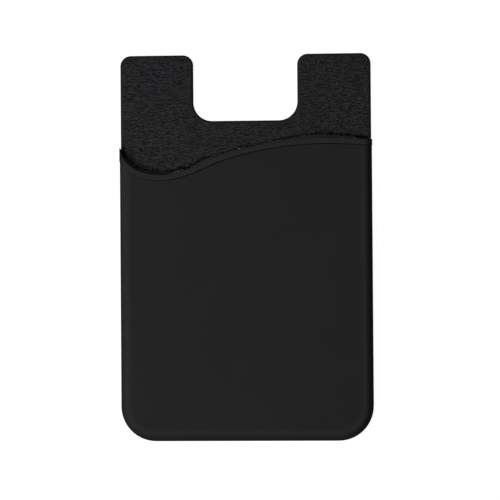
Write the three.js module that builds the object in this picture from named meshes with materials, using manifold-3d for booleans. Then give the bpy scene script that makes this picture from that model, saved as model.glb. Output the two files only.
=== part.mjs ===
import * as THREE from 'three';
import { mergeVertices } from 'three/addons/utils/BufferGeometryUtils.js';
import Module from 'manifold-3d';

const wasm = await Module();
wasm.setup();

// Card holder in millimetres, lying on its back with the pocket up.
// X runs across the pocket, Y from its closed end to the ears, and Z from the back to the front.
// The origin is the middle of the underside.

// Card that the pocket takes
const cardWidth = 53.98;
const cardCornerRadius = 3.18;
const cardClearance = 0.21; // on each side of the card

// Outline of the moulded body
const bodyHeight = 86.3;
const sideWall = 1.0;
const bottomCornerRadius = 7.8;
const earCornerRadius = 2.35;
const plateInset = 0.15; // the back plate stands in from the pocket's sides and closed end

// Notch between the two ears
const notchWidth = 23.3;
const notchDepth = 14.8;
const notchCornerRadius = 4.2;

// Layers, from the back to the front
const linerThickness = 0.15;
const adhesiveThickness = 0.3;
const plateThickness = 1.2;
const slotDepth = 1.0;
const frontWall = 1.0;

// Closed end of the slot
const floorWall = 2.8;

// Rounded edges of the moulding
const pocketEdgeRadius = 1.8;
const plateEdgeRadius = 0.7;
const backEdgeRadius = 0.3;

// Mouth of the pocket: a wave that dips near the left side and crests near the right one
const crestBelowNotch = 4.15;
const crestFromSide = 10.4;
const dipBelowCrest = 7.9;
const dipFromSide = 9.35;
const leftEndAboveDip = 6.1;
const rightEndBelowCrest = 0.4;
const slopeFromSide = 18.4; // the point between dip and crest, from the left side
const slopeAboveDip = 2.45;
const slopeRise = 0.51; // rise over run there

// Reach of the wave's tangents: how far it keeps its direction on each side of those points
const leftEndReach = 4.3;
const leftEndLean = 0.23; // run over drop at the left end
const dipReachLeft = 4.0;
const dipReachRight = 2.6;
const slopeReachLeft = 2.4;
const slopeReachRight = 5.1;
const crestReachLeft = 11.3;
const crestReachRight = 5.9;
const rightEndReach = 4.6;

// Raised band along the mouth
const rimWidth = 1.25;
const rimHeight = 0.22;
const rimOverhang = 0.08; // past the sides of the pocket
const rimEdgeRadius = 0.2;

// Adhesive pad and its peel-off liner
const adhesiveMargin = 3.0; // from the edges of the plate
const linerOverhang = 0.8; // of the liner past the pad

// Facets of the rounded forms
const cornerFacets = 7;
const edgeFacets = 6;
const waveFacets = 16; // on each of the wave's curves

// Sizes that follow
const slotWidth = cardWidth + 2 * cardClearance;
const slotCornerRadius = cardCornerRadius + 2 * cardClearance;
const pocketHalf = slotWidth / 2 + sideWall;
const plateHalf = pocketHalf - plateInset;
const top = bodyHeight / 2;
const bottom = -top;
const notchBottom = top - notchDepth;
const crestY = notchBottom - crestBelowNotch;

const adhesiveBack = linerThickness;
const bodyBack = adhesiveBack + adhesiveThickness;
const plateFront = bodyBack + plateThickness;
const slotFront = plateFront + slotDepth;
const pocketFront = slotFront + frontWall;
const rimFront = pocketFront + rimHeight;

const quarter = Math.PI / 2;
const beyond = 5; // how far a cutting shape runs past what it cuts
const grid = 1 / 4096; // coordinates lie on this grid, so flush faces are exactly flush

// Extrusion between two heights, both of its faces with a rounded edge
function extrude(shape, low, high, edgeRadius) {
  const geometry = new THREE.ExtrudeGeometry(shape, {
    depth: high - low - 2 * edgeRadius,
    bevelEnabled: edgeRadius > 0,
    bevelThickness: edgeRadius,
    bevelSize: edgeRadius,
    bevelOffset: -edgeRadius,
    bevelSegments: edgeFacets,
    curveSegments: cornerFacets,
  });
  geometry.translate(0, 0, low + edgeRadius);
  geometry.deleteAttribute('normal');
  geometry.deleteAttribute('uv');
  const points = geometry.attributes.position.array;
  points.forEach((value, index) => {
    points[index] = Math.round(value / grid) * grid;
  });
  const merged = mergeVertices(geometry, grid / 2);
  return new wasm.Manifold(new wasm.Mesh({
    numProp: 3,
    vertProperties: merged.attributes.position.array,
    triVerts: Uint32Array.from(merged.index.array),
  }));
}

// Slab whose front edge is rounder than its back edge
function moulding(shape, back, front, frontEdge) {
  const frontRounded = extrude(shape, back - frontEdge, front, frontEdge);
  const backRounded = extrude(shape, back, front + backEdgeRadius, backEdgeRadius);
  return frontRounded.intersect(backRounded);
}

// Rectangle with its own corner radius at the lower and the upper end
function roundedRectangle(half, low, high, lowRadius, highRadius) {
  const shape = new THREE.Shape();
  shape.absarc(half - lowRadius, low + lowRadius, lowRadius, -quarter, 0, false);
  shape.absarc(half - highRadius, high - highRadius, highRadius, 0, quarter, false);
  shape.absarc(highRadius - half, high - highRadius, highRadius, quarter, 2 * quarter, false);
  shape.absarc(lowRadius - half, low + lowRadius, lowRadius, 2 * quarter, 3 * quarter, false);
  shape.closePath();
  return shape;
}

// Back plate: round lower corners, two ears and the notch between them
function plateOutline() {
  const shape = new THREE.Shape();
  const lowerRadius = bottomCornerRadius - plateInset;
  const lowerX = plateHalf - lowerRadius;
  const lowerY = bottom + bottomCornerRadius;
  const outerX = plateHalf - earCornerRadius;
  const innerX = notchWidth / 2 + earCornerRadius;
  const earY = top - earCornerRadius;
  const notchX = notchWidth / 2 - notchCornerRadius;
  const notchY = notchBottom + notchCornerRadius;
  shape.absarc(lowerX, lowerY, lowerRadius, -quarter, 0, false);
  shape.absarc(outerX, earY, earCornerRadius, 0, quarter, false);
  shape.absarc(innerX, earY, earCornerRadius, quarter, 2 * quarter, false);
  shape.absarc(notchX, notchY, notchCornerRadius, 0, -quarter, true);
  shape.absarc(-notchX, notchY, notchCornerRadius, -quarter, -2 * quarter, true);
  shape.absarc(-innerX, earY, earCornerRadius, 0, quarter, false);
  shape.absarc(-outerX, earY, earCornerRadius, quarter, 2 * quarter, false);
  shape.absarc(-lowerX, lowerY, lowerRadius, 2 * quarter, 3 * quarter, false);
  shape.closePath();
  return shape;
}

// Upper edge of the front wall, from the left side to the right one
function mouthWave() {
  const dipY = crestY - dipBelowCrest;
  const left = new THREE.Vector2(-pocketHalf, dipY + leftEndAboveDip);
  const dip = new THREE.Vector2(-pocketHalf + dipFromSide, dipY);
  const slope = new THREE.Vector2(-pocketHalf + slopeFromSide, dipY + slopeAboveDip);
  const crest = new THREE.Vector2(pocketHalf - crestFromSide, crestY);
  const right = new THREE.Vector2(pocketHalf, crestY - rightEndBelowCrest);
  const wave = new THREE.Path();
  wave.moveTo(left.x, left.y);
  wave.bezierCurveTo(
    left.x + leftEndReach * leftEndLean, left.y - leftEndReach,
    dip.x - dipReachLeft, dip.y,
    dip.x, dip.y,
  );
  wave.bezierCurveTo(
    dip.x + dipReachRight, dip.y,
    slope.x - slopeReachLeft, slope.y - slopeReachLeft * slopeRise,
    slope.x, slope.y,
  );
  wave.bezierCurveTo(
    slope.x + slopeReachRight, slope.y + slopeReachRight * slopeRise,
    crest.x - crestReachLeft, crest.y,
    crest.x, crest.y,
  );
  wave.bezierCurveTo(
    crest.x + crestReachRight, crest.y,
    right.x - rightEndReach, right.y,
    right.x, right.y,
  );
  return wave;
}

// Points along the wave, moved square to it by a distance
function besideWave(wave, distance) {
  const points = [];
  for (const curve of wave.curves) {
    for (let step = points.length ? 1 : 0; step <= waveFacets; step += 1) {
      const point = curve.getPoint(step / waveFacets);
      const along = curve.getTangent(step / waveFacets);
      points.push(new THREE.Vector2(point.x + along.y * distance, point.y - along.x * distance));
    }
  }
  return points;
}

// Everything below the mouth, wider and longer than the pocket
function belowMouth(wave) {
  const edge = besideWave(wave, 0);
  const shape = new THREE.Shape(edge);
  shape.lineTo(pocketHalf + beyond, edge.at(-1).y);
  shape.lineTo(pocketHalf + beyond, bottom - beyond);
  shape.lineTo(-pocketHalf - beyond, bottom - beyond);
  shape.lineTo(-pocketHalf - beyond, edge[0].y);
  shape.closePath();
  return shape;
}

// Everything above the lower edge of the rim, which follows the mouth at an even distance
function aboveRimEdge(wave) {
  const edge = besideWave(wave, rimWidth);
  const shape = new THREE.Shape(edge);
  shape.lineTo(pocketHalf + beyond, edge.at(-1).y);
  shape.lineTo(pocketHalf + beyond, top);
  shape.lineTo(-pocketHalf - beyond, top);
  shape.closePath();
  return shape;
}

function siliconeBody() {
  const wave = mouthWave();
  const plate = moulding(plateOutline(), bodyBack, plateFront, plateEdgeRadius);
  const pocketOutline = roundedRectangle(
    pocketHalf, bottom, top, bottomCornerRadius, earCornerRadius,
  );
  const rimOutline = roundedRectangle(
    pocketHalf + rimOverhang, bottom, top, bottomCornerRadius, earCornerRadius,
  );
  const rim = moulding(rimOutline, bodyBack, rimFront, pocketEdgeRadius)
    .intersect(extrude(aboveRimEdge(wave), bodyBack - beyond, rimFront, rimEdgeRadius));
  const pocket = moulding(pocketOutline, bodyBack, pocketFront, pocketEdgeRadius)
    .add(rim)
    .intersect(extrude(belowMouth(wave), bodyBack - beyond, rimFront, rimEdgeRadius));
  const slotEnd = notchBottom - crestBelowNotch / 2;
  const slotOutline = roundedRectangle(
    slotWidth / 2, bottom + floorWall, slotEnd, slotCornerRadius, slotCornerRadius,
  );
  const slot = extrude(slotOutline, plateFront, slotFront, 0);
  return plate.add(pocket).subtract(slot);
}

// Pad of even margin round the plate below the notch, or its liner with a wider outline
function padOutline(overhang) {
  const margin = adhesiveMargin - overhang;
  const radius = bottomCornerRadius - margin;
  return roundedRectangle(plateHalf - margin, bottom + margin, notchBottom - margin, radius, radius);
}

function addPiece(group, name, solid, material) {
  const { vertProperties, triVerts } = solid.getMesh();
  const geometry = new THREE.BufferGeometry();
  geometry.setAttribute('position', new THREE.BufferAttribute(vertProperties, 3));
  geometry.setIndex(new THREE.BufferAttribute(triVerts, 1));
  geometry.computeVertexNormals();
  const mesh = new THREE.Mesh(geometry, material);
  mesh.name = name;
  group.add(mesh);
}

const silicone = new THREE.MeshStandardMaterial({ color: 0x232225, roughness: 0.62, metalness: 0 });
const adhesive = new THREE.MeshStandardMaterial({ color: 0xd8d8d4, roughness: 0.35, metalness: 0 });
const paper = new THREE.MeshStandardMaterial({ color: 0xf2efe6, roughness: 0.55, metalness: 0 });

const group = new THREE.Group();
addPiece(group, 'silicone_body', siliconeBody(), silicone);
addPiece(group, 'adhesive_pad', extrude(padOutline(0), adhesiveBack, bodyBack, 0), adhesive);
addPiece(group, 'release_liner', extrude(padOutline(linerOverhang), 0, adhesiveBack, 0), paper);

export default group;
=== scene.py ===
import bisect
import math
import bmesh
import bpy
from mathutils import Euler, Matrix, Vector, noise


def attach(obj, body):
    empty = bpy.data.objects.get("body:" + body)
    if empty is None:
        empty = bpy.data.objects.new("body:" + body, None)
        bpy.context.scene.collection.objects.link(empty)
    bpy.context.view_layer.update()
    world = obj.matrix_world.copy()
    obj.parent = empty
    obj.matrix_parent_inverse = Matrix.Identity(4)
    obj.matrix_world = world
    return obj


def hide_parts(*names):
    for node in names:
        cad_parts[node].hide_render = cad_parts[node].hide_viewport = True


mm = 0.001
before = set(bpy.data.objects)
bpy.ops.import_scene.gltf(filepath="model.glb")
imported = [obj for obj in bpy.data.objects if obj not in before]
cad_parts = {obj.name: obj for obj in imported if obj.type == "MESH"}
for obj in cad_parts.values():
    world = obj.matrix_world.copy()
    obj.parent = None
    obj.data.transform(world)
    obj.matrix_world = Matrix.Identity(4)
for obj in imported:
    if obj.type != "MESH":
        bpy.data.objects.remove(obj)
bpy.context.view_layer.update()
noise.seed_set(5)  # noise_vector draws its offsets from this

# Sizes of the moulding that the added pieces follow, in metres
holder = {
    "plateHalf": 28.05 * mm,
    "slotHalf": 27.2 * mm,
    "pocketHalf": 28.2 * mm,
    "top": 43.15 * mm,
    "notchHalf": 11.65 * mm,
    "notchBottom": 28.35 * mm,
    "notchRadius": 4.2 * mm,
    "earRadius": 2.35 * mm,
    "plateFront": 1.65 * mm,
    "plateEdgeRadius": 0.7 * mm,
    "pocketFront": 3.65 * mm,
    "pocketEdgeRadius": 1.8 * mm,
}

# The mouth's wave as in the moulding, in millimetres: its knots, and how far their tangents reach
mouthKnots = [
    {"at": (-28.2, 22.4), "after": (0.99, -4.3)},
    {"at": (-18.85, 16.3), "before": (-4.0, 0.0), "after": (2.6, 0.0)},
    {"at": (-9.8, 18.75), "before": (-2.4, -1.224), "after": (5.1, 2.601)},
    {"at": (17.8, 24.2), "before": (-11.3, 0.0), "after": (5.9, 0.0)},
    {"at": (28.2, 23.8), "before": (-4.6, 0.0)},
]


def smoothStep(low, high, value):
    t = min(max((value - low) / (high - low), 0.0), 1.0)
    return t * t * (3.0 - 2.0 * t)


def mouthPoints(perCurve=130):
    points = []
    for start, end in zip(mouthKnots, mouthKnots[1:]):
        a = Vector(start["at"])
        d = Vector(end["at"])
        b = a + Vector(start["after"])
        c = d + Vector(end["before"])
        for step in range(perCurve + (end is mouthKnots[-1])):
            t = step / perCurve
            s = 1.0 - t
            points.append((s * s * s * a + 3 * s * s * t * b + 3 * s * t * t * c + t * t * t * d) * mm)
    return points


mouth = mouthPoints()
mouthX = [p.x for p in mouth]


def aboveMouth(x, y):  # distance from the mouth, square to it
    index = min(max(bisect.bisect(mouthX, x), 1), len(mouth) - 1)
    low = mouth[index - 1]
    run = mouth[index] - low
    across = Vector((x, y)) - low
    return (run.x * across.y - run.y * across.x) / run.length


def mouthAt(index):  # a point of the mouth, and the direction square to it
    low = mouth[max(index - 1, 0)]
    high = mouth[min(index + 1, len(mouth) - 1)]
    run = (high - low).normalized()
    return mouth[index], Vector((-run.y, run.x))


def alongKnots(knots, x):  # value between the pairs of a list, held at its ends
    if x <= knots[0][0]:
        return knots[0][1]
    for (x0, v0), (x1, v1) in zip(knots, knots[1:]):
        if x <= x1:
            return v0 + (v1 - v0) * (x - x0) / (x1 - x0)
    return knots[-1][1]


def linkedObject(name, mesh):
    piece = bpy.data.objects.new(name, mesh)
    bpy.context.scene.collection.objects.link(piece)
    return piece


# An extrusion adds its parts in any order, so every mesh is sorted by place. The weights prevent ties.
order = {"x": 0.7548776662, "z": 0.569840291}


def orderKey(spot):
    return order["x"] * spot.x + spot.y + order["z"] * spot.z


def meshObject(name, bm):
    mesh = bpy.data.meshes.new(name)
    bm.verts.sort(key=lambda vert: orderKey(vert.co))
    bm.faces.sort(key=lambda face: orderKey(face.calc_center_median()))
    bm.to_mesh(mesh)
    bm.free()
    return linkedObject(name, mesh)


weldReach = 0.0005 * mm


def mergedCopy(node, name):
    bm = bmesh.new()
    bm.from_mesh(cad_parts[node].data)
    bmesh.ops.remove_doubles(bm, verts=bm.verts, dist=weldReach)
    return meshObject(name, bm)


# Leather-like grain of the back plate
grain = {
    "step": 0.125 * mm,  # spacing of the relief's grid
    "base": 0.05 * mm,  # the grained field lies this far below the smooth margin
    "valley": 0.11 * mm,  # depth of the creases below the field
    "creaseHalf": 0.17 * mm,
    "leftCells": {"across": 1.20 * mm, "along": 0.58 * mm, "lean": 0.04, "upright": 0.5},
    "rightCells": {"across": 1.00 * mm, "along": 0.57 * mm, "lean": 0.16, "upright": 0.35},
    "change": (-3.0 * mm, 13.0 * mm),  # the left cells give way to the right ones between these places
    "warp": 0.17 * mm,
    "warpScale": 0.85 * mm,
    "pebble": 0.12,  # share of the creases' depth
    "pebbleScale": 0.5 * mm,
    "pebbleStretch": 1.3,
    "changeScale": 4.0 * mm,
    "changeDrift": 6.0 * mm,
    "breakScale": 1.1 * mm,  # creases come and go over this distance
    "breakStretch": 1.6,
    "breakSlice": 5.0 * mm,
    "breakRange": (-0.45, 0.05),
    "breakShare": (0.45, 0.55),  # a crease's least depth, and what is added where it is whole
    "marginStart": 0.25 * mm,
    "marginEnd": 0.60 * mm,
    "lift": 0.02 * mm,  # the cutting block stays this far off the margin
    "edgeLift": 0.30 * mm,  # and this far off the rounded edge
    "under": 1.4 * mm,  # how far it runs in under the mouth
    "blockHeight": 0.7 * mm,
    "sideGap": 0.12 * mm,
    "wallRise": 0.3 * mm,  # the slot's side walls are kept clear up to here above the mouth's ends
    "scuff": ((-21.3 * mm, 22.4 * mm), (-22.3 * mm, 18.9 * mm)),  # a raised wrinkle beside the mouth
    "scuffHalf": 0.32 * mm,
    "scuffRise": 0.09 * mm,
    "pit": (-23.45 * mm, 22.2 * mm),
    "pitHalf": 0.45 * mm,
    "pitDepth": 0.16 * mm,
    "seed": (3.7, 8.1, 2.3),
}


def edgeDistance(x, y):  # from the plate's outline, inwards
    h = holder
    x = abs(x)
    cornerX = x - (h["plateHalf"] - h["earRadius"])
    cornerY = y - (h["top"] - h["earRadius"])
    if cornerX > 0 and cornerY > 0:
        outer = h["earRadius"] - math.hypot(cornerX, cornerY)
    else:
        outer = min(h["plateHalf"] - x, h["top"] - y)
    bendX = x - (h["notchHalf"] - h["notchRadius"])
    bendY = h["notchBottom"] + h["notchRadius"] - y
    if bendX > 0 and bendY > 0:
        notch = math.hypot(bendX, bendY) - h["notchRadius"]
    else:
        notch = max(x - h["notchHalf"], h["notchBottom"] - y)
    innerX = h["notchHalf"] + h["earRadius"] - x
    innerY = y - (h["top"] - h["earRadius"])
    if innerX > 0 and innerY > 0:
        notch = min(notch, h["earRadius"] - math.hypot(innerX, innerY))
    return min(outer, notch)


def creaseAt(x, y, cell):  # 0 on a cell's top and 1 at the bottom of a crease
    u = x / cell["across"]
    v = (y - cell["lean"] * x) / cell["along"]
    near = noise.voronoi((u, v, 0.0))[1]
    apart = near[1] - near[0]
    middle = (near[0] + near[1]) / 2
    slopeY = apart.y / cell["along"]
    slopeX = apart.x / cell["across"] - cell["lean"] * slopeY
    slope = math.hypot(slopeX, slopeY)
    fromCrease = abs((Vector((u, v, 0.0)) - middle).dot(apart)) / slope
    weaker = cell["upright"] * (slopeX / slope) ** 2
    return (1.0 - smoothStep(0.0, grain["creaseHalf"], fromCrease)) * (1.0 - weaker)


def grainRelief(x, y):
    g = grain
    seed = Vector(g["seed"])
    drift = noise.noise_vector(Vector((x, y, 0.0)) / g["warpScale"] + seed) * g["warp"]
    change = noise.noise(Vector((x, y, 0.0)) / g["changeScale"] + seed) * g["changeDrift"]
    share = smoothStep(*g["change"], x + change)
    crease = 0.0
    if share < 1.0:
        crease += (1.0 - share) * creaseAt(x + drift.x, y + drift.y, g["leftCells"])
    if share > 0.0:
        crease += share * creaseAt(x + drift.x, y + drift.y, g["rightCells"])
    breakSpot = Vector((x, g["breakStretch"] * y, g["breakSlice"])) / g["breakScale"] + seed
    broken = smoothStep(*g["breakRange"], noise.noise(breakSpot))
    pebbleSpot = Vector((x, g["pebbleStretch"] * y, 0.0)) / g["pebbleScale"] + seed
    pebble = g["pebble"] * noise.noise(pebbleSpot)
    least, more = g["breakShare"]
    return crease * (least + more * broken) + pebble


# Jagged split line that the mould left in the plate beside the mouth. Each list has pairs in millimetres:
# a place across, and the line's distance from the mouth, half its width or its depth there.
splitLine = {
    "window": (-0.5 * mm, 2.0 * mm),  # it lies between these distances above the mouth
    "distance": [
        (-28.0, 0.50), (-27.0, 0.90), (-25.0, 1.25), (-22.0, 1.35), (-19.0, 1.05), (-16.6, 0.80),
        (-15.6, 0.85), (-14.3, 0.85), (-13.6, 0.55), (-12.4, 0.55), (-11.4, 0.80), (-9.0, 0.92),
        (-7.6, 0.62), (-6.8, 0.30), (-5.0, 0.38), (-1.0, 0.38), (0.0, 0.16), (3.0, 0.16),
        (4.2, 0.40), (9.0, 0.46), (12.0, 0.72), (15.0, 0.98), (17.5, 1.05), (20.0, 0.80),
        (24.2, 0.74), (25.2, 0.60), (28.0, 0.66),
    ],
    "ragged": 0.42 * mm,
    "raggedScale": 0.7 * mm,
    "fineTimes": 2.7,
    "fineShare": 0.6,
    "half": [(-28.0, 0.20), (-18.0, 0.34), (-10.0, 0.38), (-7.0, 0.26), (28.0, 0.24)],
    "halfSwing": 1.1,
    "halfTimes": 1.3,
    "depth": [(-28.0, 0.08), (-22.0, 0.14), (-16.5, 0.34), (28.0, 0.34)],
    "core": 0.25,  # full depth over this share of its width
    "breakScale": 1.6 * mm,
    "breakRange": (-0.4, 0.1),
    "breakShare": (0.25, 0.75),
    "slices": {"rough": (3.0, 9.0), "fine": (6.0, 2.0), "broken": (1.0, 4.0), "half": (8.0, 5.0)},
}


def splitDepth(x, y):
    s = splitLine
    above = aboveMouth(x, y)
    if not s["window"][0] <= above <= s["window"][1]:
        return 0.0
    slices = s["slices"]
    rough = noise.noise(Vector((x / s["raggedScale"], *slices["rough"])))
    fine = noise.noise(Vector((x / s["raggedScale"] * s["fineTimes"], *slices["fine"])))
    line = alongKnots(s["distance"], x / mm) * mm + s["ragged"] * (rough + s["fineShare"] * fine)
    broken = smoothStep(*s["breakRange"], noise.noise(Vector((x / s["breakScale"], *slices["broken"]))))
    swing = noise.noise(Vector((x / s["raggedScale"] * s["halfTimes"], *slices["half"])))
    half = alongKnots(s["half"], x / mm) * mm
    half *= 1.0 + s["halfSwing"] * swing
    least, more = s["breakShare"]
    depth = alongKnots(s["depth"], x / mm) * mm * (least + more * broken)
    return depth * (1.0 - smoothStep(s["core"] * half, half, abs(above - line)))


def scuffDepth(x, y):  # the wrinkle is above the field, so it counts as less than nothing
    g = grain
    start = Vector(g["scuff"][0])
    run = Vector(g["scuff"][1]) - start
    spot = Vector((x, y))
    share = min(max((spot - start).dot(run) / run.length_squared, 0.0), 1.0)
    off = (spot - start - run * share).length
    pitOff = (spot - Vector(g["pit"])).length
    ridge = g["scuffRise"] * (1.0 - smoothStep(0.0, g["scuffHalf"], off))
    return g["pitDepth"] * (1.0 - smoothStep(0.0, g["pitHalf"], pitOff)) - ridge


def edgeDrop(distance, radius):  # how far a rounded edge lies below its face
    if distance >= radius:
        return 0.0
    inside = radius - max(distance, 0.0)
    return radius - math.sqrt(max(radius * radius - inside * inside, 0.0))


def grainBlock():
    g = grain
    h = holder
    low = min(p.y for p in mouth) - g["under"]
    centre = Vector((0.0, (low + h["top"]) / 2, 0.0))
    halfX = h["plateHalf"] + g["step"]
    halfY = (h["top"] - low) / 2 + g["step"]
    bm = bmesh.new()
    bmesh.ops.create_grid(
        bm, x_segments=round(2 * halfX / g["step"]), y_segments=round(2 * halfY / g["step"]), size=1.0,
    )
    bmesh.ops.scale(bm, vec=(halfX, halfY, 1.0), verts=bm.verts)
    bmesh.ops.translate(bm, vec=centre, verts=bm.verts)
    wallTop = {-1: mouth[0].y + g["wallRise"], 1: mouth[-1].y + g["wallRise"]}
    inWall = h["slotHalf"] - g["sideGap"]
    outside = []
    for face in bm.faces:
        x, y, _ = face.calc_center_median()
        belowMouth = aboveMouth(x, y) < -g["under"]
        besideSlot = abs(x) > inWall and y < wallTop[-1 if x < 0 else 1]
        if belowMouth or besideSlot or edgeDistance(x, y) < -g["step"]:
            outside.append(face)
    bmesh.ops.delete(bm, geom=outside, context="FACES")
    for vert in bm.verts:
        x, y, _ = vert.co
        distance = edgeDistance(x, y)
        fade = smoothStep(g["marginStart"], g["marginEnd"], distance)
        relief = g["base"] + g["valley"] * grainRelief(x, y) + scuffDepth(x, y)
        relief = max(relief, splitDepth(x, y))
        lift = g["lift"] + g["edgeLift"] * (1.0 - smoothStep(0.0, g["marginStart"], distance))
        depth = fade * relief - (1.0 - fade) * lift
        vert.co.z = h["plateFront"] - edgeDrop(distance, h["plateEdgeRadius"]) - depth
    grown = bmesh.ops.extrude_face_region(bm, geom=bm.faces[:])["geom"]
    for item in grown:
        if isinstance(item, bmesh.types.BMVert):
            item.co.z = h["plateFront"] + g["blockHeight"]
    bmesh.ops.recalc_face_normals(bm, faces=bm.faces)
    return meshObject("grainBlock", bm)


# Fine groove at the foot of the raised rim
rimGroove = {
    "distance": 1.25 * mm,  # from the mouth
    "width": 0.22 * mm,
    "depth": [(-24.0, 0.065), (-12.0, 0.14), (28.2, 0.14)],  # at places across, in millimetres
    "cutterRise": 0.03 * mm,
    "cutterHeight": 0.24 * mm,
    "rows": 4,
}


def grooveCutter():
    r = rimGroove
    h = holder
    count = len(mouth) - 1
    bm = bmesh.new()
    bmesh.ops.create_grid(bm, x_segments=count, y_segments=r["rows"], size=1.0)
    for vert in bm.verts:
        point, square = mouthAt(round((vert.co.x + 1.0) / 2 * count))
        across = vert.co.y
        x, y = point - square * (r["distance"] + r["width"] * (1.0 + across) / 2)
        level = h["pocketFront"] - edgeDrop(h["pocketHalf"] - abs(x), h["pocketEdgeRadius"])
        depth = alongKnots(r["depth"], x / mm) * mm
        vert.co = (x, y, level + r["cutterRise"] - depth * (1.0 - across * across))
    grown = bmesh.ops.extrude_face_region(bm, geom=bm.faces[:])["geom"]
    for item in grown:
        if isinstance(item, bmesh.types.BMVert):
            item.co.z += r["cutterHeight"]
    bmesh.ops.recalc_face_normals(bm, faces=bm.faces)
    return meshObject("grooveCutter", bm)


def cut(piece, cutter):
    modifier = piece.modifiers.new("cut", "BOOLEAN")
    modifier.operation = "DIFFERENCE"
    modifier.solver = "MANIFOLD"
    modifier.object = cutter
    bpy.context.view_layer.update()
    cutMesh = bpy.data.meshes.new_from_object(piece.evaluated_get(bpy.context.evaluated_depsgraph_get()))
    piece.modifiers.clear()
    old = piece.data
    piece.data = cutMesh
    bpy.data.meshes.remove(old)
    bpy.data.objects.remove(cutter)


shading = {"sharpAngle": 32.0, "weight": 50}


def finishShading(piece):
    piece.data.shade_smooth()
    piece.data.set_sharp_from_angle(angle=math.radians(shading["sharpAngle"]))
    weighted = piece.modifiers.new("weighted", "WEIGHTED_NORMAL")
    weighted.keep_sharp = True
    weighted.weight = shading["weight"]


# Where the material's painted shade and painted highlights go
marks = {
    "edgeSlope": (0.2, 0.92),  # from a side face to a level one
    "rimDepth": 0.4 * mm,
    "rimReach": 0.02 * mm,
    # share of painted highlight on the rim's top
    "rimPaintedLight": 0.45,
    "grooveShare": 0.3,
    # share of painted shade in the rim's groove
    "groovePaintedShade": 0.7,
    "grooveFade": (-26.0 * mm, -12.0 * mm),
    "plateDepth": 0.38 * mm,
    "plateShare": 0.3,
    "plateBelow": 8 * mm,  # under the mouth's left end
}


def markGrain(piece):  # for the material: how deep in a crease or the groove (painted shade), how much painted highlight on a grain or rim top, how steep (painted shade on side faces)
    m = marks
    h = holder
    r = rimGroove
    mesh = piece.data
    valley = mesh.attributes.new("valley", "FLOAT", "POINT")
    crest = mesh.attributes.new("crest", "FLOAT", "POINT")
    edge = mesh.attributes.new("edge", "FLOAT", "POINT")
    field = h["plateFront"] - grain["base"]
    for vert in mesh.vertices:
        x, y, z = vert.co
        above = aboveMouth(x, y)
        # steep faces get painted shade, and a rougher finish
        edge.data[vert.index].value = 1.0 - smoothStep(*m["edgeSlope"], abs(vert.normal.z))
        # the rim's top gets a painted highlight
        if z > h["pocketFront"] - m["rimDepth"] and -r["distance"] - m["rimReach"] < above:
            crest.data[vert.index].value = m["rimPaintedLight"]
        # painted shade in the rim's groove, fading out towards the left
        inGroove = abs(-above - r["distance"] - r["width"] / 2) < m["grooveShare"] * r["width"]
        if inGroove and z > h["pocketFront"] - h["pocketEdgeRadius"]:
            valley.data[vert.index].value = m["groovePaintedShade"] * smoothStep(*m["grooveFade"], x)
        # the grain's creases get painted shade and its tops a painted highlight
        onPlate = h["plateFront"] - m["plateDepth"] < z < h["plateFront"] - m["plateShare"] * grain["base"]
        if not onPlate or y < mouth[0].y - m["plateBelow"] or edgeDistance(x, y) < grain["marginEnd"]:
            continue
        deep = smoothStep(0.0, grain["valley"], field - z)
        valley.data[vert.index].value = deep
        crest.data[vert.index].value = 1.0 - deep


# Ragged flash along the mouth, where the two halves of the mould met. Each list has pairs in millimetres:
# a place across, and the width, the depth below the pocket's face or a bead's radius there.
flash = {
    "width": [
        (-28.2, 0.10), (-26.5, 0.46), (-22.0, 0.60), (-19.0, 0.34), (-16.6, 0.10), (-15.6, 0.42),
        (-14.3, 0.40), (-13.6, 0.06), (-12.4, 0.06), (-11.4, 0.45), (-9.0, 0.60), (-7.6, 0.34),
        (-6.8, 0.12), (-5.0, 0.26), (-1.0, 0.26), (0.0, 0.06), (3.0, 0.06), (4.2, 0.28),
        (9.0, 0.34), (12.0, 0.60), (15.0, 0.85), (17.5, 0.95), (20.0, 0.62), (24.2, 0.52),
        (25.2, 0.12), (28.2, 0.10),
    ],
    "least": 0.015 * mm,
    "ragged": 0.704,  # share of the width
    "raggedScale": 0.75 * mm,
    "fineTimes": 3.1,
    "fineShare": 0.5,
    "slices": {"rough": (2.0, 7.0), "fine": (4.0, 1.0)},
    "rows": 6,
    "rootIn": 0.30 * mm,
    "outer": 28.26 * mm,  # it ends here on each side
    "below": [(-28.2, 0.50), (-26.8, 0.80), (-17.0, 0.80), (-15.0, 0.20), (28.2, 0.14)],
    "sag": 0.22 * mm,
    "sagRun": 0.9 * mm,
    "thickness": 0.14 * mm,
    "beads": [
        (-14.9, 0.07), (-13.9, 0.08), (-13.1, 0.06), (-7.6, 0.05), (-6.8, 0.06), (-5.6, 0.09),
        (-4.6, 0.06), (-1.3, 0.16), (0.1, 0.07), (0.9, 0.06), (2.0, 0.07), (3.0, 0.05),
        (4.6, 0.08), (5.2, 0.06), (6.0, 0.05), (7.0, 0.06), (7.7, 0.07), (9.5, 0.06),
        (10.2, 0.07), (20.5, 0.05), (21.7, 0.06), (24.4, 0.09), (27.8, 0.10),
    ],
    "beadStretch": 1.7,  # along the mouth
    "beadOut": 0.16 * mm,
}


def flashTop(x):
    side = holder["pocketHalf"] - abs(x)
    below = alongKnots(flash["below"], x / mm) * mm
    return holder["pocketFront"] - edgeDrop(side, holder["pocketEdgeRadius"]) - below


def flashWidth(x, along):
    f = flash
    width = alongKnots(f["width"], x / mm) * mm
    rough = noise.noise(Vector((along / f["raggedScale"], *f["slices"]["rough"])))
    fine = noise.noise(Vector((along / f["raggedScale"] * f["fineTimes"], *f["slices"]["fine"])))
    return max(width * (1.0 + f["ragged"] * (rough + f["fineShare"] * fine)), f["least"])


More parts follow.
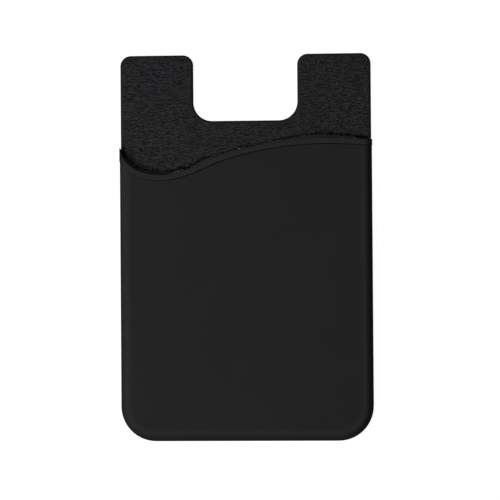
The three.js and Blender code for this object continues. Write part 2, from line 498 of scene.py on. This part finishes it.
def mouthFlash():
    f = flash
    count = len(mouth) - 1
    bm = bmesh.new()
    bmesh.ops.create_grid(bm, x_segments=count, y_segments=f["rows"], size=1.0)
    along = [0.0]
    for low, high in zip(mouth, mouth[1:]):
        along.append(along[-1] + (high - low).length)
    for vert in bm.verts:
        index = round((vert.co.x + 1.0) / 2 * count)
        share = (vert.co.y + 1.0) / 2
        point, square = mouthAt(index)
        reach = -f["rootIn"] + share * (f["rootIn"] + flashWidth(point.x, along[index]))
        x, y = point + square * reach
        sag = f["sag"] * smoothStep(0.0, f["sagRun"], reach)
        x = min(max(x, -f["outer"]), f["outer"])
        vert.co = (x, y, flashTop(point.x) - sag)
    grown = bmesh.ops.extrude_face_region(bm, geom=bm.faces[:])["geom"]
    for item in grown:
        if isinstance(item, bmesh.types.BMVert):
            item.co.z -= f["thickness"]
    bmesh.ops.recalc_face_normals(bm, faces=bm.faces)
    return meshObject("mouthFlash", bm)


def flashBeads():
    f = flash
    bm = bmesh.new()
    for across, radius in f["beads"]:
        index = min(bisect.bisect(mouthX, across * mm), len(mouth) - 1)
        point, square = mouthAt(index)
        spot = point + square * f["beadOut"]
        turn = Matrix.Rotation(math.atan2(-square.x, square.y), 4, "Z")
        stretch = Matrix.Diagonal((f["beadStretch"], 1.0, 1.0, 1.0))
        place = Matrix.Translation((spot.x, spot.y, flashTop(point.x))) @ turn @ stretch
        bmesh.ops.create_icosphere(bm, subdivisions=2, radius=radius * mm, matrix=place)
    return meshObject("flashBeads", bm)


def newMaterial(name):
    material = bpy.data.materials.new(name)
    material.use_nodes = True
    return material, material.node_tree.nodes, material.node_tree.links


# Slow and fine unevenness, used by every finish of the holder
mottleInputs = {"Slow Scale": 60.0, "Fine Scale": 2500.0, "Fine Share": 0.4}
mottleDetail = {"slow": 3.0, "fine": 2.0}


def mottleGroup():
    group = bpy.data.node_groups.new("mottle", "ShaderNodeTree")
    for name, value in mottleInputs.items():
        socket = group.interface.new_socket(name, in_out="INPUT", socket_type="NodeSocketFloat")
        socket.default_value = value
    group.interface.new_socket("Value", in_out="OUTPUT", socket_type="NodeSocketFloat")
    nodes = group.nodes
    links = group.links
    entry = nodes.new("NodeGroupInput")
    leave = nodes.new("NodeGroupOutput")
    place = nodes.new("ShaderNodeTexCoord")
    slow = nodes.new("ShaderNodeTexNoise")
    slow.inputs["Detail"].default_value = mottleDetail["slow"]
    fine = nodes.new("ShaderNodeTexNoise")
    fine.inputs["Detail"].default_value = mottleDetail["fine"]
    mix = nodes.new("ShaderNodeMix")
    mix.data_type = "FLOAT"
    links.new(place.outputs["Object"], slow.inputs["Vector"])
    links.new(place.outputs["Object"], fine.inputs["Vector"])
    links.new(entry.outputs["Slow Scale"], slow.inputs["Scale"])
    links.new(entry.outputs["Fine Scale"], fine.inputs["Scale"])
    links.new(entry.outputs["Fine Share"], mix.inputs["Factor"])
    links.new(slow.outputs["Fac"], mix.inputs["A"])
    links.new(fine.outputs["Fac"], mix.inputs["B"])
    links.new(mix.outputs["Result"], leave.inputs["Value"])
    return group


mottle = mottleGroup()

# Painted sheen: a faintly lighter band just inside the pocket's rounded edge, standing in for a highlight
paintedSheenBand = {
    "half": (holder["pocketHalf"], holder["top"]),
    "cornerRadius": 7.8 * mm,
    "inside": 1.9 * mm,
    "halfWidth": 1.1 * mm,
    "strength": 0.50,
}


def paintedBandGroup():
    b = paintedSheenBand
    group = bpy.data.node_groups.new("paintedSheenBand", "ShaderNodeTree")
    group.interface.new_socket("Mask", in_out="OUTPUT", socket_type="NodeSocketFloat")
    nodes = group.nodes
    links = group.links
    leave = nodes.new("NodeGroupOutput")
    place = nodes.new("ShaderNodeTexCoord")
    mirrored = nodes.new("ShaderNodeVectorMath")
    mirrored.operation = "ABSOLUTE"
    links.new(place.outputs["Object"], mirrored.inputs[0])
    fromCorner = nodes.new("ShaderNodeVectorMath")
    fromCorner.operation = "SUBTRACT"
    centreX, centreY = (half - b["cornerRadius"] for half in b["half"])
    fromCorner.inputs[1].default_value = (centreX, centreY, 1.0)
    links.new(mirrored.outputs[0], fromCorner.inputs[0])
    beyond = nodes.new("ShaderNodeVectorMath")
    beyond.operation = "MAXIMUM"
    beyond.inputs[1].default_value = (-b["cornerRadius"], -b["cornerRadius"], 0.0)
    links.new(fromCorner.outputs[0], beyond.inputs[0])
    parts = nodes.new("ShaderNodeSeparateXYZ")
    links.new(beyond.outputs[0], parts.inputs[0])
    outer = nodes.new("ShaderNodeMath")
    outer.operation = "MAXIMUM"
    links.new(parts.outputs["X"], outer.inputs[0])
    links.new(parts.outputs["Y"], outer.inputs[1])
    inCorner = nodes.new("ShaderNodeVectorMath")
    inCorner.operation = "MAXIMUM"
    links.new(beyond.outputs[0], inCorner.inputs[0])
    length = nodes.new("ShaderNodeVectorMath")
    length.operation = "LENGTH"
    links.new(inCorner.outputs[0], length.inputs[0])
    reach = nodes.new("ShaderNodeMath")
    reach.operation = "MAXIMUM"
    links.new(outer.outputs[0], reach.inputs[0])
    links.new(length.outputs["Value"], reach.inputs[1])
    offCentre = nodes.new("ShaderNodeMath")
    offCentre.operation = "SUBTRACT"
    offCentre.inputs[1].default_value = b["cornerRadius"] - b["inside"]
    links.new(reach.outputs[0], offCentre.inputs[0])
    away = nodes.new("ShaderNodeMath")
    away.operation = "ABSOLUTE"
    links.new(offCentre.outputs[0], away.inputs[0])
    band = nodes.new("ShaderNodeMapRange")
    band.interpolation_type = "SMOOTHSTEP"
    band.inputs["From Min"].default_value = 0.0
    band.inputs["From Max"].default_value = b["halfWidth"]
    band.inputs["To Min"].default_value = b["strength"]
    band.inputs["To Max"].default_value = 0.0
    links.new(away.outputs[0], band.inputs["Value"])
    links.new(band.outputs["Result"], leave.inputs["Mask"])
    return group


paintedBandMask = paintedBandGroup()


def addMottle(nodes, slowScale, fineScale, fineShare):
    node = nodes.new("ShaderNodeGroup")
    node.node_tree = mottle
    node.inputs["Slow Scale"].default_value = slowScale
    node.inputs["Fine Scale"].default_value = fineScale
    node.inputs["Fine Share"].default_value = fineShare
    return node


def addBump(nodes, links, source, shader, strength, depth):
    node = nodes.new("ShaderNodeBump")
    node.inputs["Strength"].default_value = strength
    node.inputs["Distance"].default_value = depth
    links.new(source, node.inputs["Height"])
    links.new(node.outputs["Normal"], shader.inputs["Normal"])


noiseSpan = (0.3, 0.7)  # most of a noise's values lie between these


def addRange(nodes, links, source, low, high):
    node = nodes.new("ShaderNodeMapRange")
    node.inputs["From Min"].default_value = noiseSpan[0]
    node.inputs["From Max"].default_value = noiseSpan[1]
    node.inputs["To Min"].default_value = low
    node.inputs["To Max"].default_value = high
    links.new(source, node.inputs["Value"])
    return node.outputs["Result"]


siliconeUneven = {"slowScale": 90.0, "fineScale": 5200.0, "fineShare": 0.45}
siliconeBump = 0.5
# Black silicone: two random tones, a paler painted highlight for grain tops and the rim's top, a paler
# painted sheen for a band inside the pocket's edge, near-black painted shade in creases and the rim's
# groove, and darker painted shade on side faces
silicone = {
    "light": (0.0140, 0.0129, 0.0143, 1.0),
    "dark": (0.0108, 0.0100, 0.0111, 1.0),
    "crest": (0.0190, 0.0186, 0.0206, 1.0),
    "sheenPaint": (0.0202, 0.0186, 0.0206, 1.0),
    "valley": (0.0016, 0.0015, 0.0017, 1.0),
    "edge": (0.0046, 0.0043, 0.0048, 1.0),
    "roughness": (0.58, 0.70),
    "edgeRoughness": 0.95,
    "specular": 0.06,
    "bump": 0.02 * mm,
}
flashFinish = {
    "light": (0.0160, 0.0144, 0.0156, 1.0),
    "dark": (0.0070, 0.0064, 0.0070, 1.0),
    "crest": (0.0160, 0.0144, 0.0156, 1.0),
    "sheenPaint": (0.0160, 0.0144, 0.0156, 1.0),
    "valley": (0.0030, 0.0028, 0.0032, 1.0),
    "edge": (0.0070, 0.0064, 0.0070, 1.0),
    "roughness": (0.34, 0.60),
    "edgeRoughness": 0.60,
    "specular": 0.16,
    "bump": 0.06 * mm,
}
# The beads' pale colour is a painted glint; their gloss is real.
beadPaintedGlintFinish = {
    "light": (0.1100, 0.1050, 0.1050, 1.0),
    "dark": (0.0900, 0.0850, 0.0850, 1.0),
    "crest": (0.0400, 0.0370, 0.0380, 1.0),
    "sheenPaint": (0.0400, 0.0370, 0.0380, 1.0),
    "valley": (0.0200, 0.0200, 0.0200, 1.0),
    "edge": (0.0400, 0.0370, 0.0380, 1.0),
    "roughness": (0.16, 0.24),
    "edgeRoughness": 0.24,
    "specular": 0.8,
    "bump": 0.01 * mm,
}


def siliconeMaterial(name, s):
    material, nodes, links = newMaterial(name)
    shader = nodes["Principled BSDF"]
    uneven = addMottle(nodes, **siliconeUneven)
    tone = nodes.new("ShaderNodeMix")
    tone.data_type = "RGBA"
    tone.inputs["A"].default_value = s["dark"]
    tone.inputs["B"].default_value = s["light"]
    links.new(addRange(nodes, links, uneven.outputs["Value"], 0.0, 1.0), tone.inputs["Factor"])
    # painted shade in the grain's creases and the rim's groove
    crease = nodes.new("ShaderNodeAttribute")
    crease.attribute_name = "valley"
    deep = nodes.new("ShaderNodeMix")
    deep.data_type = "RGBA"
    deep.inputs["B"].default_value = s["valley"]
    # painted highlight on grain tops and the rim's top
    crest = nodes.new("ShaderNodeAttribute")
    crest.attribute_name = "crest"
    top = nodes.new("ShaderNodeMix")
    top.data_type = "RGBA"
    top.inputs["B"].default_value = s["crest"]
    links.new(crest.outputs["Fac"], top.inputs["Factor"])
    # painted sheen in a band just inside the pocket's rounded edge
    sheenPaintMask = nodes.new("ShaderNodeGroup")
    sheenPaintMask.node_tree = paintedBandMask
    sheenPaint = nodes.new("ShaderNodeMix")
    sheenPaint.data_type = "RGBA"
    sheenPaint.inputs["B"].default_value = s["sheenPaint"]
    links.new(sheenPaintMask.outputs["Mask"], sheenPaint.inputs["Factor"])
    links.new(tone.outputs["Result"], sheenPaint.inputs["A"])
    links.new(sheenPaint.outputs["Result"], top.inputs["A"])
    links.new(crease.outputs["Fac"], deep.inputs["Factor"])
    links.new(top.outputs["Result"], deep.inputs["A"])
    # painted shade on steep side faces
    edge = nodes.new("ShaderNodeAttribute")
    edge.attribute_name = "edge"
    side = nodes.new("ShaderNodeMix")
    side.data_type = "RGBA"
    side.inputs["B"].default_value = s["edge"]
    links.new(edge.outputs["Fac"], side.inputs["Factor"])
    links.new(deep.outputs["Result"], side.inputs["A"])
    links.new(side.outputs["Result"], shader.inputs["Base Color"])
    rough = nodes.new("ShaderNodeMix")
    rough.data_type = "FLOAT"
    rough.inputs["B"].default_value = s["edgeRoughness"]
    links.new(edge.outputs["Fac"], rough.inputs["Factor"])
    links.new(addRange(nodes, links, uneven.outputs["Value"], *s["roughness"]), rough.inputs["A"])
    links.new(rough.outputs["Result"], shader.inputs["Roughness"])
    addBump(nodes, links, uneven.outputs["Value"], shader, siliconeBump, s["bump"])
    shader.inputs["Specular IOR Level"].default_value = s["specular"]
    return material


padFinish = {
    "light": (0.66, 0.66, 0.62, 1.0),
    "dark": (0.56, 0.56, 0.52, 1.0),
    "roughness": (0.25, 0.4),
    "specular": 0.5,
    "uneven": {"slowScale": 220.0, "fineScale": 3000.0, "fineShare": 0.5},
    "bump": 0.01 * mm,
}
linerFinish = {
    "light": (0.88, 0.85, 0.76, 1.0),
    "dark": (0.80, 0.77, 0.68, 1.0),
    "roughness": (0.42, 0.58),
    "specular": 0.4,
    "uneven": {"slowScale": 300.0, "fineScale": 6000.0, "fineShare": 0.5},
    "bump": 0.01 * mm,
}
sheetBump = 0.4


def sheetMaterial(name, s):
    material, nodes, links = newMaterial(name)
    shader = nodes["Principled BSDF"]
    uneven = addMottle(nodes, **s["uneven"])
    tone = nodes.new("ShaderNodeMix")
    tone.data_type = "RGBA"
    tone.inputs["A"].default_value = s["dark"]
    tone.inputs["B"].default_value = s["light"]
    links.new(addRange(nodes, links, uneven.outputs["Value"], 0.0, 1.0), tone.inputs["Factor"])
    links.new(tone.outputs["Result"], shader.inputs["Base Color"])
    links.new(addRange(nodes, links, uneven.outputs["Value"], *s["roughness"]), shader.inputs["Roughness"])
    addBump(nodes, links, uneven.outputs["Value"], shader, sheetBump, s["bump"])
    shader.inputs["Specular IOR Level"].default_value = s["specular"]
    return material


print("body")
body = mergedCopy("silicone_body", "cardPocket")
cut(body, grainBlock())
cut(body, grooveCutter())
markGrain(body)
finishShading(body)
body.data.materials.clear()
body.data.materials.append(siliconeMaterial("silicone", silicone))
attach(body, "root")
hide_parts("silicone_body")
print("body faces", len(body.data.polygons))

print("flash")
for piece, name, finish in (
    (mouthFlash(), "siliconeFlash", flashFinish),
    (flashBeads(), "beadPaintedGlint", beadPaintedGlintFinish),
):
    piece.data.shade_smooth()
    piece.data.materials.append(siliconeMaterial(name, finish))
    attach(piece, "root")

print("pad and liner")
for node, name, finish in (
    ("adhesive_pad", "adhesiveFilm", padFinish),
    ("release_liner", "linerPaper", linerFinish),
):
    material = sheetMaterial(name, finish)
    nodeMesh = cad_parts[node].data
    if nodeMesh.materials:
        nodeMesh.materials[0] = material
    else:
        nodeMesh.materials.append(material)

# Floor, lamps, world and camera
stageSet = {
    "floorHalf": 3.6,
    "floorDrop": 0.02 * mm,
    "backdropRadius": 3.2,
    "backdropHeight": 0.38,
    "backdropSides": 96,
    "color": (0.12, 0.12, 0.12, 1.0),
    "glow": 0.96,  # what the camera, glossy and transmission rays see
    "roughness": 0.9,
    "worldStrength": 0.02,
}
lamps = {
    "key": {"at": (-0.42, -0.11, 0.54), "size": 0.42, "power": 5.2},
    "topFill": {"at": (-0.04, -0.06, 0.90), "size": 0.30, "power": 1.5},
}


def paleMaterial():
    material, nodes, links = newMaterial("paleStage")
    shader = nodes["Principled BSDF"]
    shader.inputs["Base Color"].default_value = stageSet["color"]
    shader.inputs["Roughness"].default_value = stageSet["roughness"]
    shader.inputs["Specular IOR Level"].default_value = 0.0
    path = nodes.new("ShaderNodeLightPath")
    seen = nodes.new("ShaderNodeMath")
    seen.operation = "MAXIMUM"
    links.new(path.outputs["Is Camera Ray"], seen.inputs[0])
    links.new(path.outputs["Is Glossy Ray"], seen.inputs[1])
    seenToo = nodes.new("ShaderNodeMath")
    seenToo.operation = "MAXIMUM"
    links.new(seen.outputs[0], seenToo.inputs[0])
    links.new(path.outputs["Is Transmission Ray"], seenToo.inputs[1])
    glow = nodes.new("ShaderNodeMath")
    glow.operation = "MULTIPLY"
    glow.inputs[1].default_value = stageSet["glow"]
    links.new(seenToo.outputs[0], glow.inputs[0])
    shader.inputs["Emission Color"].default_value = (1.0, 1.0, 1.0, 1.0)
    links.new(glow.outputs[0], shader.inputs["Emission Strength"])
    return material


def floorPiece():
    bm = bmesh.new()
    bmesh.ops.create_grid(bm, x_segments=1, y_segments=1, size=stageSet["floorHalf"])
    bmesh.ops.translate(bm, vec=(0.0, 0.0, -stageSet["floorDrop"]), verts=bm.verts)
    return meshObject("floor", bm)


def backdropPiece():  # a low wall far off all round, for views from near the floor
    s = stageSet
    bm = bmesh.new()
    bmesh.ops.create_cone(
        bm, cap_ends=False, segments=s["backdropSides"],
        radius1=s["backdropRadius"], radius2=s["backdropRadius"], depth=s["backdropHeight"],
    )
    bmesh.ops.translate(bm, vec=(0.0, 0.0, s["backdropHeight"] / 2 - s["floorDrop"]), verts=bm.verts)
    bmesh.ops.reverse_faces(bm, faces=bm.faces)
    return meshObject("backdrop", bm)


def areaLamp(name, at, size, power):
    lamp = bpy.data.lights.new(name, "AREA")
    lamp.shape = "DISK"
    lamp.size = size
    lamp.energy = power
    lampObject = linkedObject(name, lamp)
    lampObject.location = at
    lampObject.rotation_euler = (-Vector(at)).to_track_quat("-Z", "Y").to_euler()


print("stage")
pale = paleMaterial()
for piece in (floorPiece(), backdropPiece()):
    piece.data.materials.append(pale)
for name, lamp in lamps.items():
    areaLamp(name, lamp["at"], lamp["size"], lamp["power"])
world = bpy.data.worlds.new("studio")
bpy.context.scene.world = world
world.use_nodes = True
sky = world.node_tree.nodes["Background"]
sky.inputs["Color"].default_value = (1.0, 1.0, 1.0, 1.0)
sky.inputs["Strength"].default_value = stageSet["worldStrength"]

view = {
    "target": (0.885 * mm, -0.596 * mm, 2.0 * mm),
    "distance": 0.5,
    "tilt": (0.655, 3.732, -0.41),  # degrees about X, Y and Z from straight down
    "lens": 161.46,
    "sensor": 36.0,
}
cameraData = bpy.data.cameras.new("camera")
cameraData.sensor_width = view["sensor"]
cameraData.lens = view["lens"]
camera = linkedObject("camera", cameraData)
turn = Euler([math.radians(a) for a in view["tilt"]], "XYZ")
camera.rotation_euler = turn
camera.location = Vector(view["target"]) + turn.to_matrix() @ Vector((0.0, 0.0, view["distance"]))
bpy.context.scene.camera = camera
bpy.context.scene.view_settings.view_transform = "Standard"
